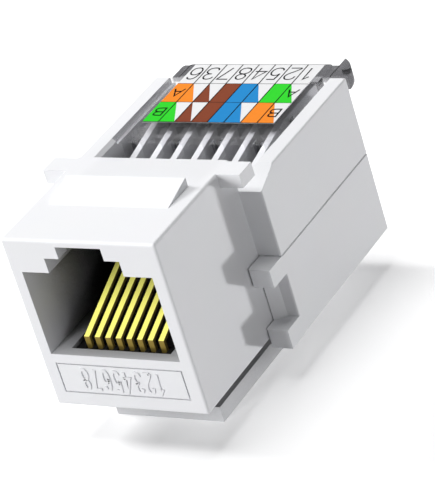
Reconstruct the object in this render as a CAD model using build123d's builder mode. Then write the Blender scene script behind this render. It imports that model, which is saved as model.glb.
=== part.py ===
from build123d import *
import math
import os

os.makedirs("parts", exist_ok=True)

# Keystone jack. Sizes are in millimetres and angles in degrees.
# X runs across the jack, Y from the front face into its depth, and Z up.
# The origin is the middle of the front face's lower edge.

# Front housing
body_width = 14.6
body_height = 15.95
body_depth = 12.44
body_edge_radius = 0.25

# Plug socket, with its two steps for the plug's own latch
socket_width = 12.36
socket_floor = 5.03
socket_height = 7.87
step_width = 7.1
step_height = 1.37
notch_width = 4.3
notch_height = 1.11
catch_wall = 1.3
notch_depth = 9.0

# Window in the socket's floor, where the contacts stand
pit_width = 9.5
pit_front = 0.97

# Framed panel on the front face under the socket
panel_width = 12.1
panel_bottom = 1.33
panel_height = 2.87
panel_groove = 0.13
panel_groove_depth = 0.12

# Fixed catch ramp on top, and the cross bar with its wings
ramp_width = 11.4
ramp_length = 3.32
ramp_height = 0.8
panel_room = 1.82
wing_proud = 0.02
bar_length = 1.99
bar_rear_gap = 0.18
bar_thickness = 1.23

# Tongue behind the front housing, held between the two shells
tongue_shoulder = 0.5
tongue_bottom = 0.75
tongue_height = 6.9
tongue_wall = 0.7
tongue_lip = 0.5

# Circuit board
board_thickness = 1.6
board_front = 1.7
board_side_gap = 0.15
board_ledge = 0.5
board_rear_gap = 1.0
bay_floor = 1.5
bay_front_gap = 0.2
board_clearance = 0.1

# Contact carrier
carrier_height = 1.6
carrier_clearance = 0.07
carrier_wall = 1.2
comb_length = 1.6
comb_fin = 0.28
comb_height = 5.2

# Spring contacts
contact_count = 8
contact_pitch = 1.02
contact_width = 0.5
contact_thickness = 0.3
contact_front = 1.8
contact_crest_rise = 0.63
contact_slope = 21.8
contact_end_gap = 0.6
contact_foot_gap = 0.05
leg_slot_width = 0.62
leg_slot_play = 0.3

# Outer shells behind the front housing
shell_width = 18.86
shell_length = 16.08
shell_bottom = -0.61
seam_level = 6.91
shell_top = 14.18
shell_wall = 1.16
shell_floor = 1.2
shell_edge_radius = 0.15
seam_chamfer = 0.1
slope_drop = 1.15
slope_length = 2.61
collar_clearance = 0.08

# Teeth on the lower shell that reach along the front housing's sides
tooth_reach = 2.09
tooth_clearance = 0.08
upper_tooth_height = 1.64
lower_tooth_height = 1.77
flare_width = 1.0
flare_reach = 0.7
tooth_corner_radius = 0.25

# Terminal comb in the upper shell
terminal_count = 8
outer_slot_width = 1.26
rib_width = 0.6
rib_slope = 11.06
rib_flat_length = 5.97
cap_seat_depth = 0.58
ledge_width = 0.36
rim_chamfer_drop = 0.29
shoulder_cover = 0.2
side_wall = 1.45
slot_floor = 9.3
comb_floor = 1.0
slot_rear_wall = 2.9
wire_groove_depth = 1.5

# Forked terminals, in two staggered rows
terminal_rear_gap = 2.32
terminal_row_step = 3.2
terminal_width = 0.94
terminal_thickness = 0.4
terminal_top_gap = 0.15
fork_slit = 0.34
fork_depth = 2.6
fork_mouth = 0.3
terminal_play = 0.12
pin_width = 0.5
pin_proud = 0.4
pin_hole_radius = 0.42

# Clear wire cap and its label
cap_overhang = 2.21
cap_length = 12.28
cap_thickness = 0.55
cap_margin = 0.78
cap_margin_drop = 0.12
cap_seat_gap = 0.03
cap_front_gap = 0.15
cap_side_gap = 0.1
cap_corner_radius = 0.3
pusher_width = 0.8
pusher_length = 1.1
pusher_height = 1.0
finger_width = 0.6
finger_height = 1.3
finger_drop = 0.1
finger_front_gap = 0.3
finger_rear_gap = 0.3
tab_width = 1.66
tab_length = 3.0
tab_curve_radius = 3.8
tab_thickness = 1.25
tab_dimple_radius = 0.42
tab_dimple_depth = 0.45
rear_gap = 0.2
lip_height = 1.5
lip_thickness = 0.8
label_side_gap = 1.43
label_setback = 2.48
label_length = 9.57
label_thickness = 0.08

# Release latch underneath
latch_width = 10.38
latch_front = 4.27
latch_thickness = 1.45
latch_gap = 2.4
latch_root_setback = 6.76
knuckle_radius = 0.7
knuckle_clearance = 0.06

# Levels and places that follow from the sizes above
socket_top = socket_floor + socket_height
step_top = socket_top + step_height
notch_top = step_top + notch_height
shell_back = body_depth + shell_length
shell_half = shell_width / 2
inner_half = shell_half - side_wall
slot_half = inner_half - ledge_width
inner_slots = terminal_count // 2 - 1
terminal_pitch = (slot_half - outer_slot_width - rib_width / 2) / inner_slots
last_rib = inner_slots * terminal_pitch + rib_width / 2
bar_back = body_depth - bar_rear_gap
bar_front = bar_back - bar_length
ramp_back = bar_front - panel_room
tongue_width = body_width - 2 * tongue_shoulder
board_width = tongue_width - 2 * (tongue_wall + board_side_gap)
board_top = bay_floor + board_thickness
carrier_top = board_top + carrier_height
carrier_wall_front = body_depth - carrier_wall
shell_inside_front = body_depth + shell_wall
shell_inside_back = shell_back - shell_wall
slot_back = shell_back - slot_rear_wall
terminal_row_front = slot_back - terminal_rear_gap - terminal_row_step
cap_seat_level = shell_top - cap_seat_depth
cap_back = shell_back + cap_overhang
cap_front = cap_back - cap_length
seat_front = cap_front - cap_front_gap
rib_flat_start = shell_back - rib_flat_length
tongue_top = tongue_bottom + tongue_height
tongue_back = shell_inside_front + collar_clearance + tongue_lip
rib_rise = math.tan(math.radians(rib_slope))
knuckle_level = shell_bottom - knuckle_clearance - knuckle_radius


def block(x_range, y_range, z_range, mode=Mode.ADD):
    """Add or cut a box between the given limits along X, Y and Z."""
    spans = (x_range, y_range, z_range)
    centre = [(low + high) / 2 for low, high in spans]
    with Locations(tuple(centre)):
        Box(*[high - low for low, high in spans], mode=mode)


def side_profile(points, half_width, mode=Mode.ADD):
    """Extrude an outline in Y and Z to both sides of the middle plane."""
    with BuildSketch(Plane.YZ) as outline:
        with BuildLine():
            Polyline(*points, close=True)
        make_face()
    extrude(outline.sketch, amount=half_width, both=True, mode=mode)


def centred(width):
    """Limits of a width that lies evenly about the middle plane."""
    return (-width / 2, width / 2)


def slot_centres():
    """Middle of each wire slot; the outer two end at the walls' ledges."""
    right = [terminal_pitch * (i + 0.5) for i in range(inner_slots)]
    right.append(last_rib + outer_slot_width / 2)
    return [-x for x in reversed(right)] + right


def slot_width_at(x):
    """Width of the wire slot whose middle is at x."""
    return outer_slot_width if abs(x) > last_rib else terminal_pitch - rib_width


def rib_top(y):
    """Level of the ribs' tops, which rise from the front to their flat part."""
    return cap_seat_level - max(0, rib_flat_start - y) * rib_rise


# Front housing: body, ramp, bar and tongue, then the socket and the board's bay
with BuildPart() as front_housing:
    block(centred(body_width), (0, body_depth), (0, body_height))
    body_corners = front_housing.edges().filter_by(Axis.Y)
    body_front = front_housing.faces().sort_by(Axis.Y)[0].edges()
    fillet(body_corners + body_front, radius=body_edge_radius)
    side_profile(
        [
            (ramp_back - ramp_length, body_height - body_edge_radius),
            (ramp_back - ramp_length, body_height),
            (ramp_back, body_height + ramp_height),
            (ramp_back, body_height - body_edge_radius),
        ],
        ramp_width / 2,
    )
    block(
        centred(shell_width + 2 * wing_proud),
        (bar_front, bar_back),
        (body_height - bar_thickness, body_height),
    )
    block(
        centred(tongue_width),
        (body_depth, tongue_back),
        (tongue_bottom, tongue_top),
    )
    block(
        centred(tongue_width),
        (tongue_back - tongue_lip, tongue_back),
        (tongue_top, tongue_top + tongue_lip),
    )
    block(
        centred(socket_width),
        (0, body_depth),
        (socket_floor, socket_top),
        mode=Mode.SUBTRACT,
    )
    block(centred(step_width), (0, notch_depth), (socket_floor, step_top), mode=Mode.SUBTRACT)
    block(centred(notch_width), (0, notch_depth), (socket_floor, notch_top), mode=Mode.SUBTRACT)
    block(
        centred(step_width),
        (catch_wall, notch_depth),
        (socket_floor, notch_top),
        mode=Mode.SUBTRACT,
    )
    block(
        centred(pit_width),
        (pit_front, body_depth),
        (bay_floor, socket_floor),
        mode=Mode.SUBTRACT,
    )
    block(
        centred(board_width + 2 * board_clearance),
        (board_front - bay_front_gap, body_depth),
        (bay_floor, board_top + board_clearance),
        mode=Mode.SUBTRACT,
    )
    block(
        centred(tongue_width - 2 * tongue_wall),
        (body_depth, tongue_back),
        (bay_floor, tongue_top - tongue_wall),
        mode=Mode.SUBTRACT,
    )
    with BuildSketch(Plane.XZ) as panel_outline:
        with Locations((0, panel_bottom + panel_height / 2)):
            Rectangle(panel_width, panel_height)
            Rectangle(
                panel_width - 2 * panel_groove,
                panel_height - 2 * panel_groove,
                mode=Mode.SUBTRACT,
            )
    extrude(amount=-panel_groove_depth, mode=Mode.SUBTRACT)
front_housing.part.label = "front_housing"
export_step(front_housing.part, "parts/front_housing.step")

# Contact carrier: base with a slot for each leg, back wall and guide comb
contact_places = [contact_pitch * (i - (contact_count - 1) / 2) for i in range(contact_count)]
comb_front = carrier_wall_front - comb_length
with BuildPart() as contact_carrier:
    block(
        centred(pit_width - 2 * carrier_clearance),
        (pit_front + carrier_clearance, body_depth),
        (board_top, carrier_top),
    )
    block(
        centred(socket_width - 2 * carrier_clearance),
        (carrier_wall_front, body_depth),
        (socket_floor + carrier_clearance, socket_top - carrier_clearance),
    )
    for gap in range(contact_count + 1):
        fin_x = contact_pitch * (gap - contact_count / 2)
        block(
            (fin_x - comb_fin / 2, fin_x + comb_fin / 2),
            (comb_front, carrier_wall_front),
            (carrier_top, carrier_top + comb_height),
        )
    for x in contact_places:
        block(
            (x - leg_slot_width / 2, x + leg_slot_width / 2),
            (contact_front - leg_slot_play, contact_front + contact_thickness + leg_slot_play),
            (board_top, carrier_top),
            mode=Mode.SUBTRACT,
        )
contact_carrier.part.label = "contact_carrier"
export_step(contact_carrier.part, "parts/contact_carrier.step")

# Spring contacts: a leg up out of the carrier, a sharp bend and a rising blade
slope = math.radians(contact_slope)
half_thickness = contact_thickness / 2
contact_crest = socket_floor + contact_crest_rise
bend_y = contact_front + half_thickness
bend_z = contact_crest - half_thickness / math.cos(slope) + half_thickness * math.tan(slope)
leg_foot = board_top + contact_foot_gap + half_thickness
blade_end = carrier_wall_front - contact_end_gap
blade_rise = (blade_end - bend_y) * math.tan(slope)
for number, x in enumerate(contact_places, start=1):
    with BuildPart() as contact:
        with BuildSketch(Plane.YZ.offset(x)):
            with BuildLine():
                Polyline(
                    (bend_y, leg_foot),
                    (bend_y, bend_z),
                    (blade_end, bend_z + blade_rise),
                )
                offset(amount=half_thickness, side=Side.BOTH, kind=Kind.INTERSECTION)
            make_face()
        extrude(amount=contact_width / 2, both=True)
    contact.part.label = f"contact_{number}"
    export_step(contact.part, f"parts/contact_{number}.step")

# Circuit board, narrow inside the front housing and wider in the shells
board_step = tongue_back + board_rear_gap
board_back = shell_inside_back - board_rear_gap
terminal_places = [
    (x, terminal_row_front + terminal_row_step * (index % 2))
    for index, x in enumerate(slot_centres())
]
with BuildPart() as circuit_board:
    block(centred(board_width), (board_front, board_back), (bay_floor, board_top))
    block(centred(2 * (inner_half - board_side_gap)), (board_step, board_back), (bay_floor, board_top))
    with Locations(*[(x, y, board_top) for x, y in terminal_places]):
        Hole(radius=pin_hole_radius)
circuit_board.part.label = "circuit_board"
export_step(circuit_board.part, "parts/circuit_board.step")

# Lower shell: tray with ledges for the board, a front opening and the side teeth
opening_half = tongue_width / 2 + collar_clearance
tooth_inner = body_width / 2 + tooth_clearance
ledge_inner = inner_half - board_ledge
with BuildPart() as rear_base:
    block(centred(shell_width), (body_depth, shell_back), (shell_bottom, seam_level))
    shell_corners = rear_base.edges().filter_by(Axis.Z)
    shell_floor_edges = rear_base.faces().sort_by(Axis.Z)[0].edges()
    fillet(shell_corners + shell_floor_edges, radius=shell_edge_radius)
    chamfer(rear_base.faces().sort_by(Axis.Z)[-1].edges(), length=seam_chamfer)
    block(
        centred(2 * inner_half),
        (shell_inside_front, shell_inside_back),
        (shell_bottom + shell_floor, seam_level),
        mode=Mode.SUBTRACT,
    )
    block(
        centred(2 * opening_half),
        (body_depth, shell_inside_front),
        (tongue_bottom - collar_clearance, seam_level),
        mode=Mode.SUBTRACT,
    )
    for side in (-1, 1):
        block(
            sorted((side * ledge_inner, side * inner_half)),
            (board_step, shell_inside_back),
            (shell_bottom + shell_floor, bay_floor),
        )
        for low, height in (
            (seam_level - upper_tooth_height, upper_tooth_height),
            (shell_bottom, lower_tooth_height),
        ):
            block(
                sorted((side * tooth_inner, side * shell_half)),
                (body_depth - tooth_reach, body_depth + shell_edge_radius),
                (low, low + height),
            )
    tooth_front = body_depth - tooth_reach
    inner_corners = [
        edge
        for edge in rear_base.edges().filter_by(Axis.Z)
        if abs(edge.center().Y - tooth_front) < tooth_clearance
        and abs(edge.center().X) < tooth_inner + tooth_clearance
    ]
    fillet(inner_corners, radius=tooth_corner_radius)
    for side in (-1, 1):
        flare_low = shell_bottom + lower_tooth_height
        with BuildSketch(Plane.XY.offset(flare_low)):
            with BuildLine():
                Polyline(
                    (side * tooth_inner, body_depth - flare_reach),
                    (side * (tooth_inner + flare_width), body_depth),
                    (side * (tooth_inner + flare_width), body_depth + shell_edge_radius),
                    (side * tooth_inner, body_depth + shell_edge_radius),
                    close=True,
                )
            make_face()
        extrude(amount=seam_level - upper_tooth_height - flare_low)
rear_base.part.label = "rear_base"
export_step(rear_base.part, "parts/rear_base.step")

# Upper shell: two side walls with ledges for the cap, and the comb between them
with BuildPart() as terminal_housing:
    side_profile(
        [
            (body_depth, seam_level),
            (body_depth, shell_top - slope_drop),
            (body_depth + slope_length, shell_top),
            (shell_back, shell_top),
            (shell_back, seam_level),
        ],
        shell_half,
    )
    upright_edges = terminal_housing.edges().filter_by(Axis.Z)
    top_edges = terminal_housing.faces().sort_by(Axis.Z)[-1].edges()
    fillet(upright_edges + top_edges, radius=shell_edge_radius)
    chamfer(terminal_housing.faces().sort_by(Axis.Z)[0].edges(), length=seam_chamfer)
    # Room over the comb down to the ribs' tops, narrow just behind the front housing
    for front, half_width in (
        (body_depth, body_width / 2 - shoulder_cover),
        (shell_inside_front, slot_half),
    ):
        side_profile(
            [
                (front, rib_top(front)),
                (rib_flat_start, cap_seat_level),
                (shell_back, cap_seat_level),
                (shell_back, shell_top),
                (front, shell_top),
            ],
            half_width,
            mode=Mode.SUBTRACT,
        )
    # Seat of the cap, and chamfered rims in front of it
    block(
        centred(2 * inner_half),
        (seat_front, shell_back),
        (cap_seat_level, shell_top),
        mode=Mode.SUBTRACT,
    )
    for side in (-1, 1):
        with BuildSketch(Plane.XZ.offset(-body_depth)):
            with BuildLine():
                Polyline(
                    (side * slot_half, shell_top - rim_chamfer_drop),
                    (side * inner_half, shell_top),
                    (side * slot_half, shell_top),
                    close=True,
                )
            make_face()
        extrude(amount=body_depth - seat_front, mode=Mode.SUBTRACT)
    # Wire slots, each with a shallow groove on to the rear
    for x in slot_centres():
        half_slot = slot_width_at(x) / 2
        block(
            (x - half_slot, x + half_slot),
            (shell_inside_front, slot_back),
            (slot_floor, cap_seat_level),
            mode=Mode.SUBTRACT,
        )
        block(
            (x - half_slot, x + half_slot),
            (slot_back, shell_back),
            (cap_seat_level - wire_groove_depth, cap_seat_level),
            mode=Mode.SUBTRACT,
        )
    # Hollow under the comb, the collar round the tongue and a hole for each terminal
    block(
        centred(2 * inner_half),
        (shell_inside_front, shell_inside_back),
        (seam_level, slot_floor - comb_floor),
        mode=Mode.SUBTRACT,
    )
    block(
        centred(2 * opening_half),
        (body_depth, shell_inside_front),
        (seam_level, tongue_top + collar_clearance),
        mode=Mode.SUBTRACT,
    )
    for x, y in terminal_places:
        hole_half = terminal_width / 2 + terminal_play / 2
        hole_depth = terminal_thickness / 2 + terminal_play
        block(
            (x - hole_half, x + hole_half),
            (y - hole_depth, y + hole_depth),
            (slot_floor - comb_floor, slot_floor),
            mode=Mode.SUBTRACT,
        )
terminal_housing.part.label = "terminal_housing"
export_step(terminal_housing.part, "parts/terminal_housing.step")

# Forked terminals: a flat blade with a slit and flared mouth on top, and a pin below
for number, (x, y) in enumerate(terminal_places, start=1):
    fork_top = rib_top(y) - terminal_top_gap
    with BuildPart() as terminal:
        with BuildSketch(Plane.XZ.offset(-y)):
            with BuildLine():
                Polyline(
                    (x - terminal_width / 2, board_top),
                    (x - pin_width / 2, board_top),
                    (x - pin_width / 2, bay_floor - pin_proud),
                    (x + pin_width / 2, bay_floor - pin_proud),
                    (x + pin_width / 2, board_top),
                    (x + terminal_width / 2, board_top),
                    (x + terminal_width / 2, fork_top - fork_mouth),
                    (x + terminal_width / 3, fork_top),
                    (x + fork_slit / 2, fork_top - fork_mouth),
                    (x + fork_slit / 2, fork_top - fork_depth),
                    (x - fork_slit / 2, fork_top - fork_depth),
                    (x - fork_slit / 2, fork_top - fork_mouth),
                    (x - terminal_width / 3, fork_top),
                    (x - terminal_width / 2, fork_top - fork_mouth),
                    close=True,
                )
            make_face()
        extrude(amount=terminal_thickness / 2, both=True)
    terminal.part.label = f"idc_terminal_{number}"
    export_step(terminal.part, f"parts/idc_terminal_{number}.step")

# Clear cap: plate with lower margins, a finger and a pusher in each slot, a rear lip and a tab
cap_bottom = cap_seat_level + cap_seat_gap
cap_top = cap_bottom + cap_thickness
cap_half = inner_half - cap_side_gap
label_half = cap_half - label_side_gap
behind_shell = shell_back + rear_gap
tab_inner = shell_half - tab_width
pusher_y = terminal_row_front + terminal_row_step / 2
finger_front = shell_inside_front + finger_front_gap
finger_back = terminal_row_front - terminal_thickness / 2 - finger_rear_gap
with BuildPart() as wire_cap:
    with BuildSketch(Plane.XY.offset(cap_bottom)):
        with Locations((0, (cap_front + cap_back) / 2)):
            RectangleRounded(2 * cap_half, cap_length, cap_corner_radius)
    extrude(amount=cap_thickness - cap_margin_drop)
    with BuildSketch(Plane.XY.offset(cap_bottom)):
        with Locations((0, (cap_front + cap_back) / 2)):
            RectangleRounded(2 * (cap_half - cap_margin), cap_length, cap_corner_radius)
    extrude(amount=cap_thickness)
    for x in slot_centres():
        block(
            (x - pusher_width / 2, x + pusher_width / 2),
            (pusher_y - pusher_length / 2, pusher_y + pusher_length / 2),
            (cap_bottom - pusher_height, cap_bottom),
        )
        with BuildSketch(Plane.YZ.offset(x)):
            with BuildLine():
                Polyline(
                    (finger_front, rib_top(finger_front) - finger_drop - finger_height),
                    (finger_front, rib_top(finger_front) - finger_drop),
                    (cap_front, rib_top(cap_front) - finger_drop),
                    (cap_front, cap_bottom),
                    (finger_back, cap_bottom),
                    (finger_back, rib_top(finger_back) - finger_drop - finger_height),
                    close=True,
                )
            make_face()
        extrude(amount=finger_width / 2, both=True)
    block(
        centred(2 * label_half),
        (behind_shell, behind_shell + lip_thickness),
        (cap_bottom - lip_height, cap_bottom),
    )
    with BuildSketch(Plane.XY.offset(cap_top - tab_thickness)):
        with BuildLine():
            RadiusArc(
                (shell_half, behind_shell),
                (tab_inner, behind_shell + tab_length),
                -tab_curve_radius,
            )
            Polyline(
                (tab_inner, behind_shell + tab_length),
                (tab_inner, behind_shell),
                (shell_half, behind_shell),
            )
        make_face()
    extrude(amount=tab_thickness)
    with Locations((tab_inner + tab_width / 2, behind_shell + tab_length / 2, cap_top)):
        Hole(radius=tab_dimple_radius, depth=tab_dimple_depth)
wire_cap.part.label = "wire_cap"
export_step(wire_cap.part, "parts/wire_cap.step")

# Label on the cap
with BuildPart() as wiring_label:
    block(
        centred(2 * label_half),
        (cap_front + label_setback, cap_front + label_setback + label_length),
        (cap_top, cap_top + label_thickness),
    )
wiring_label.part.label = "wiring_label"
export_step(wiring_label.part, "parts/wiring_label.step")

# Release latch: flat arm, and an upright that ends in a round knuckle under the shell
latch_root = body_depth + latch_root_setback
latch_top = -latch_gap
latch_bottom = latch_top - latch_thickness
with BuildPart() as release_latch:
    side_profile(
        [
            (latch_front, latch_bottom),
            (latch_root + knuckle_radius, latch_bottom),
            (latch_root + knuckle_radius, knuckle_level),
            (latch_root - knuckle_radius, knuckle_level),
            (latch_root - knuckle_radius, latch_top),
            (latch_front, latch_top),
        ],
        latch_width / 2,
    )
    with BuildSketch(Plane.YZ):
        with Locations((latch_root, knuckle_level)):
            Circle(knuckle_radius)
    extrude(amount=latch_width / 2, both=True)
release_latch.part.label = "release_latch"
export_step(release_latch.part, "parts/release_latch.step")
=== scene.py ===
import math

import bmesh
import bpy
from mathutils import Matrix, Vector


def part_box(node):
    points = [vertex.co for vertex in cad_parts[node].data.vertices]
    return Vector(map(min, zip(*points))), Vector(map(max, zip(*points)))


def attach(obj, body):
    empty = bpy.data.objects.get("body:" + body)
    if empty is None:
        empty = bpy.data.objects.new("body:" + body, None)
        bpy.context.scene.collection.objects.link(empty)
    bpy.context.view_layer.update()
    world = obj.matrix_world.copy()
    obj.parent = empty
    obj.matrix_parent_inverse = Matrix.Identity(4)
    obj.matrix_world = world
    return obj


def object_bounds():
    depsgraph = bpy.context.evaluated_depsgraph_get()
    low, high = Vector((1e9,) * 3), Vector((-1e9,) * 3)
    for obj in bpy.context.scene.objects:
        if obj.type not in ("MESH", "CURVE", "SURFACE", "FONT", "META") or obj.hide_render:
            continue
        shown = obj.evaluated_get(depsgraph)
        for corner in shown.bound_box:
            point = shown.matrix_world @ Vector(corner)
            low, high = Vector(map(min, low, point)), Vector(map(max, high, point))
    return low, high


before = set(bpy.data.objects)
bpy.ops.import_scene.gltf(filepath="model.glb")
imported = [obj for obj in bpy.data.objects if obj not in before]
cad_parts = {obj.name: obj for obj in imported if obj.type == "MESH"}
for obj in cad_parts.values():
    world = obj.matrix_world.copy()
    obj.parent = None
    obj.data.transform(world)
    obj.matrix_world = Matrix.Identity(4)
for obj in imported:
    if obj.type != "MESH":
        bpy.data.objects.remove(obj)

bl_info = {
    "name": "Keystone Jack Finish",
    "version": (1, 0, 0),
    "blender": (4, 5, 0),
    "location": "3D View > Sidebar > Keystone Jack",
    "description": "Mouldings, plated contacts, clear cap, printed label and studio for a keystone jack",
    "category": "Object",
}

MM = 0.001

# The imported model's own sizes, in metres
CAD_LOW, CAD_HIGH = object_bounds()
LABEL_LOW, LABEL_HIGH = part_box("wiring_label")
FRONT_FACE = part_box("front_housing")[0].y
SHELL_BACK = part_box("terminal_housing")[1].y
# How far the label lies behind the front edge of the cap's plate
LABEL_SETBACK = 2.48 * MM
PLATE_FRONT = LABEL_LOW.y - LABEL_SETBACK

CONTACTS = [f"contact_{number}" for number in range(1, 9)]
TERMINALS = [f"idc_terminal_{number}" for number in range(1, 9)]

# Pin of each label column from -X to +X, and each row's wire colour per column.
# A plain name fills the cell, and "_stripe" leaves half of it white.
LABEL_PINS = "63784521"
ROW_A = ("orange", "orange_stripe", "brown_stripe", "brown", "blue", "blue_stripe", "green", "green_stripe")
ROW_B = ("green", "green_stripe", "brown_stripe", "brown", "blue", "blue_stripe", "orange", "orange_stripe")

# Name, direction, distance and size in metres, level, and whether gloss mirrors it
LAMPS = (
    ("low front lamp", (-0.22, -0.97, 0.12), 0.35, 0.06, 0.66, False),
    ("top lamp", (-0.10, 0.0, 1.0), 0.8, 0.45, 0.68, True),
    ("left lamp", (-0.85, 0.08, 0.60), 0.8, 0.26, 0.78, False),
    ("side fill", (1.0, -0.3, 0.1), 0.15, 0.05, 0.12, False),
    ("low side lamp", (2.13, 2.95, -2.3), 0.7, 0.05, 0.71, False),
)
# The same for the lamp that lights the spring contacts alone
CONTACT_LAMP = ("contact lamp", (0.22, -0.70, 0.75), 0.35, 0.16, 1.40, False)

# The floor is a square of this half size, just under the jack
FLOOR_HALF = 1.5
FLOOR_GAP = 0.01 * MM
# The floor's white and glow where it is seen, and the quieter grey that it lights the jack with
SEEN_FLOOR = (0.88, 0.88, 0.885, 1.0)
FLOOR_GLOW = 0.31
BOUNCED_FLOOR = (0.38, 0.38, 0.385, 1.0)

# Strokes of each glyph in a cell one wide and one high: smooth or straight, then the points
GLYPHS = {
    "1": [("straight", [(0.26, 0.76), (0.62, 1.0), (0.62, 0.0)])],
    "2": [
        ("smooth", [(0.06, 0.74), (0.15, 0.91), (0.34, 0.99), (0.54, 1.0), (0.76, 0.95), (0.91, 0.83),
                    (0.93, 0.68), (0.83, 0.54), (0.60, 0.40), (0.32, 0.24), (0.11, 0.10), (0.04, 0.0)]),
        ("straight", [(0.04, 0.0), (0.96, 0.0)]),
    ],
    "3": [
        ("smooth", [(0.08, 0.80), (0.20, 0.94), (0.46, 1.0), (0.74, 0.96), (0.88, 0.82), (0.84, 0.64),
                    (0.64, 0.55), (0.40, 0.53)]),
        ("smooth", [(0.40, 0.53), (0.70, 0.50), (0.92, 0.38), (0.94, 0.20), (0.78, 0.05), (0.48, 0.0),
                    (0.20, 0.04), (0.05, 0.20)]),
    ],
    "4": [("straight", [(0.72, 0.0), (0.72, 1.0), (0.04, 0.30), (0.98, 0.30)])],
    "5": [
        ("straight", [(0.88, 1.0), (0.24, 1.0), (0.14, 0.50)]),
        ("smooth", [(0.14, 0.50), (0.30, 0.62), (0.55, 0.65), (0.80, 0.58), (0.94, 0.40), (0.92, 0.20),
                    (0.76, 0.05), (0.46, 0.0), (0.18, 0.06), (0.05, 0.20)]),
    ],
    "6": [
        ("smooth", [(0.90, 0.82), (0.78, 0.95), (0.54, 1.0), (0.28, 0.94), (0.12, 0.74), (0.06, 0.46),
                    (0.10, 0.20), (0.28, 0.03), (0.52, 0.0), (0.78, 0.05), (0.93, 0.20), (0.93, 0.42),
                    (0.78, 0.57), (0.52, 0.62), (0.26, 0.56), (0.09, 0.38)]),
    ],
    "7": [("straight", [(0.04, 1.0), (0.96, 1.0), (0.36, 0.0)])],
    "8": [
        ("smooth", [(0.50, 0.53), (0.24, 0.60), (0.12, 0.76), (0.24, 0.93), (0.50, 1.0), (0.76, 0.93),
                    (0.88, 0.76), (0.76, 0.60), (0.50, 0.53)]),
        ("smooth", [(0.50, 0.53), (0.18, 0.45), (0.05, 0.26), (0.18, 0.06), (0.50, 0.0), (0.82, 0.06),
                    (0.95, 0.26), (0.82, 0.45), (0.50, 0.53)]),
    ],
    "A": [
        ("straight", [(0.0, 0.0), (0.5, 1.0), (1.0, 0.0)]),
        ("straight", [(0.19, 0.36), (0.81, 0.36)]),
    ],
    "B": [
        ("straight", [(0.55, 0.0), (0.08, 0.0), (0.08, 1.0), (0.55, 1.0)]),
        ("straight", [(0.08, 0.53), (0.55, 0.53)]),
        ("smooth", [(0.55, 1.0), (0.80, 0.94), (0.88, 0.77), (0.80, 0.60), (0.55, 0.53)]),
        ("smooth", [(0.55, 0.53), (0.86, 0.46), (0.96, 0.26), (0.86, 0.06), (0.55, 0.0)]),
    ],
}

# The shells' plain plastic, which the raised numerals share
PLAIN_WHITE = "white moulded plastic"
# Names of the shader effects that several materials share: the moulded skin, and the painted recess shade
# within one part and among parts
SKIN = "Moulded skin"
OWN_PAINTED_SHADE = "Painted shade of one part"
SHARED_PAINTED_SHADE = "Painted shade among parts"

# How the painted recess shade deepens: within a reach, below and above which openness, and leaning to which
# side
PLAIN_PAINTED_SHADE = {"Reach": 4 * MM, "Shut_below": 0.05, "Open_above": 0.6}
COMB_PAINTED_SHADE = {"Reach": 4 * MM, "Shut_below": 0.05, "Open_above": 0.75}
LATCH_PAINTED_SHADE = {"Reach": 10 * MM, "Shut_below": 0.6, "Open_above": 1.0}
SOCKET_PAINTED_SHADE = {"Reach": 25 * MM, "Shut_below": 0.15, "Open_above": 0.36, "Lean": (0.0, -0.9, 0.9)}
# Upward tilt of a plated face where the painted lit top's colour sets in, and where it is full
LIT_TOP_TILT = (0.45, 0.8)
# Marks that drawing left in the plated wires, per metre across a wire and along it
DRAWN_MARKS = (9000.0, 300.0, 300.0)
# Share of the painted shaded sides' colour that the plated parts keep as painted shade in their recesses
# and in their diffuse bounce
PLATED_SHADE_SHARE = 0.3
# Height of the label's fields, lines and glyphs above its film
INK_LIFTS = (0.004 * MM, 0.008 * MM, 0.012 * MM)
# Film and black ink of the label
FILM_WHITE = (0.80, 0.80, 0.81, 1.0)
INK_BLACK = (0.012, 0.012, 0.014, 1.0)


class JackMouldings(bpy.types.PropertyGroup):
    """Colours and grain of the moulded plastics"""

    shell_colour: bpy.props.FloatVectorProperty(
        name="Shell colour",
        description="White of the housings and the latch",
        subtype="COLOR",
        size=3,
        min=0,
        max=1,
        default=(0.80, 0.805, 0.825),
    )
    shell_roughness: bpy.props.FloatProperty(
        name="Shell roughness",
        description="Gloss of the white plastic, from mirror to matt",
        subtype="FACTOR",
        min=0,
        max=1,
        default=0.42,
    )
    insert_colour: bpy.props.FloatVectorProperty(
        name="Insert colour",
        description="Black of the insert that carries the contacts",
        subtype="COLOR",
        size=3,
        min=0,
        max=1,
        default=(0.008, 0.008, 0.009),
    )
    board_colour: bpy.props.FloatVectorProperty(
        name="Board colour",
        description="Green of the circuit board's lacquer",
        subtype="COLOR",
        size=3,
        min=0,
        max=1,
        default=(0.02, 0.16, 0.06),
    )
    edge_radius: bpy.props.FloatProperty(
        name="Edge radius",
        description="Softness of the moulded edges in the shading",
        unit="LENGTH",
        precision=6,
        default=0.00004,
    )


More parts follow.
